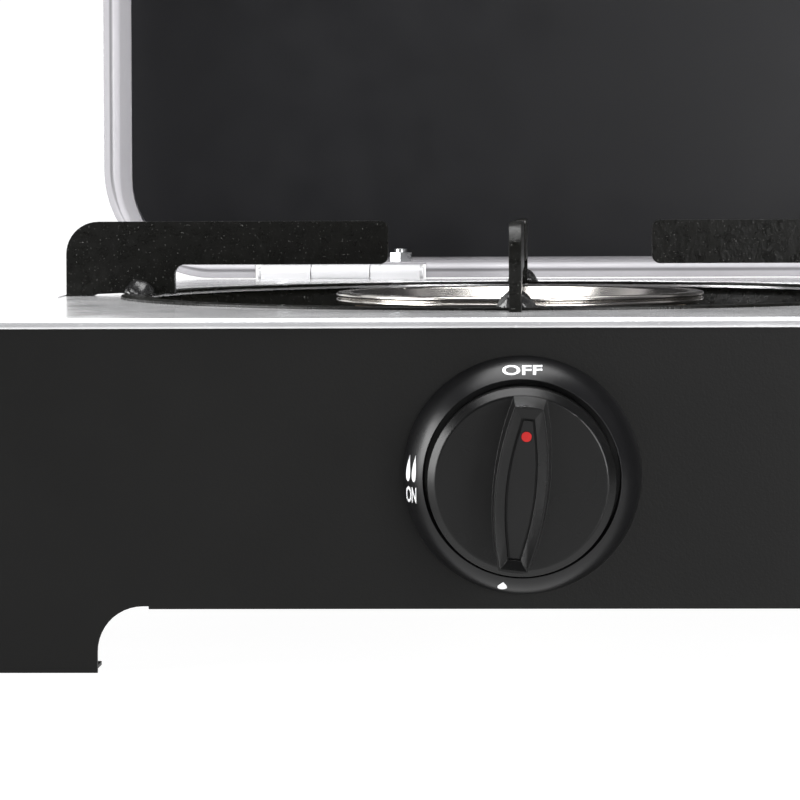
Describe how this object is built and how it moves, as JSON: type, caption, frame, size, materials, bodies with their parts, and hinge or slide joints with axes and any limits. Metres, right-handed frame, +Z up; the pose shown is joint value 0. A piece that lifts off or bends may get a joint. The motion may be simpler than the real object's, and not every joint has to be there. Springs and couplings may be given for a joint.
{
  "type": "camping stove",
  "caption": "Table-top gas camping stove with round burners in a steel body on sheet feet, lift-off pan supports, turning front knobs and a hinged lid.",
  "frame": {"origin": "on the ground, under the middle of the stove's body", "axes": "+X to the user's right, +Y to the rear, where the lid is hinged, +Z up"},
  "size_m": [0.55, 0.3574, 0.3759],
  "materials": {
    "polished_steel": "bright polished sheet",
    "black_panel": "fine black powder coat",
    "gas_pipe_steel": "drawn steel tube",
    "brass": "turned brass",
    "zinc_screws": "bright zinc plate",
    "lid_silver": "silver paint",
    "lid_black": "satin black paint",
    "black_enamel": "rough black enamel",
    "galvanised": "galvanised strip",
    "burner_steel": "pressed steel",
    "burner_polished": "polished stainless",
    "mixing_tube_steel": "plated steel tube",
    "spring_steel": "spring wire",
    "stem_steel": "turned steel",
    "dial_black": "moulded black, satin gloss",
    "knob_black": "moulded black, fine texture",
    "insert_black": "moulded black",
    "dot_red": "red mark",
    "hinge_plated": "bright plated steel"
  },
  "bodies": {
    "stove": {"top_plate": "polished_steel", "front_panel": "black_panel", "rear_panel": "black_panel", "side_panel_left": "black_panel", "side_panel_right": "black_panel", "gas_pipe": "gas_pipe_steel", "gas_inlet": "brass", "gas_inlet_nut": "brass", "burner_screws": "zinc_screws", "hinge_screws_body": "zinc_screws", "hinge_nuts_body": "zinc_screws", "drip_bowl_left": "black_enamel", "burner_bracket_left": "galvanised", "burner_base_left": "burner_steel", "burner_cap_left": "burner_polished", "mixing_tube_left": "mixing_tube_steel", "pipe_rest_left": "galvanised", "valve_body_left": "brass", "injector_jet_left": "brass", "valve_spring_left": "spring_steel", "dial_ring_left": "dial_black", "hinge_leaf_body_left": "hinge_plated", "hinge_pin_left": "hinge_plated", "drip_bowl_right": "black_enamel", "burner_bracket_right": "galvanised", "burner_base_right": "burner_steel", "burner_cap_right": "burner_polished", "mixing_tube_right": "mixing_tube_steel", "pipe_rest_right": "galvanised", "valve_body_right": "brass", "injector_jet_right": "brass", "valve_spring_right": "spring_steel", "dial_ring_right": "dial_black", "hinge_leaf_body_right": "hinge_plated", "hinge_pin_right": "hinge_plated"},
    "lid": {"hinge_screws_lid": "zinc_screws", "hinge_nuts_lid": "zinc_screws", "lid_shell": "lid_silver", "lid_liner": "lid_black", "hinge_leaf_lid_left": "hinge_plated", "hinge_leaf_lid_right": "hinge_plated"},
    "push_left": {"spring_washer_left": "zinc_screws"},
    "knob_left": {"valve_stem_left": "stem_steel", "knob_left": "knob_black", "knob_insert_left": "insert_black", "knob_dot_left": "dot_red"},
    "pan_support_left": {"pan_ring_left": "black_enamel", "pan_fins_left": "black_enamel"},
    "push_right": {"spring_washer_right": "zinc_screws"},
    "knob_right": {"valve_stem_right": "stem_steel", "knob_right": "knob_black", "knob_insert_right": "insert_black", "knob_dot_right": "dot_red"},
    "pan_support_right": {"pan_ring_right": "black_enamel", "pan_fins_right": "black_enamel"}
  },
  "joints": [
    {"name": "lid_hinge", "type": "hinge", "parent": "stove", "child": "lid", "pos_m": [0, 0.1521, 0.0772], "axis": [-1, 0, 0], "range_deg": [-90, 0]},
    {"name": "pan_support_lift_left", "type": "slide", "parent": "stove", "child": "pan_support_left", "axis": [0, 0, 1], "range_m": [0, 0.06]},
    {"name": "knob_push_left", "type": "slide", "parent": "stove", "child": "push_left", "axis": [0, 1, 0], "range_m": [0, 0.003], "stiffness_N_per_m": 600, "springref_m": -0.008, "deforming": ["valve_spring_left"]},
    {"name": "knob_turn_left", "type": "hinge", "parent": "push_left", "child": "knob_left", "pos_m": [-0.1312, -0.1492, 0.0421], "axis": [0, -1, 0], "range_deg": [0, 190]},
    {"name": "pan_support_lift_right", "type": "slide", "parent": "stove", "child": "pan_support_right", "axis": [0, 0, 1], "range_m": [0, 0.06]},
    {"name": "knob_push_right", "type": "slide", "parent": "stove", "child": "push_right", "axis": [0, 1, 0], "range_m": [0, 0.003], "stiffness_N_per_m": 600, "springref_m": -0.008, "deforming": ["valve_spring_right"]},
    {"name": "knob_turn_right", "type": "hinge", "parent": "push_right", "child": "knob_right", "pos_m": [0.1312, -0.1492, 0.0421], "axis": [0, -1, 0], "range_deg": [0, 190]}
  ]
}
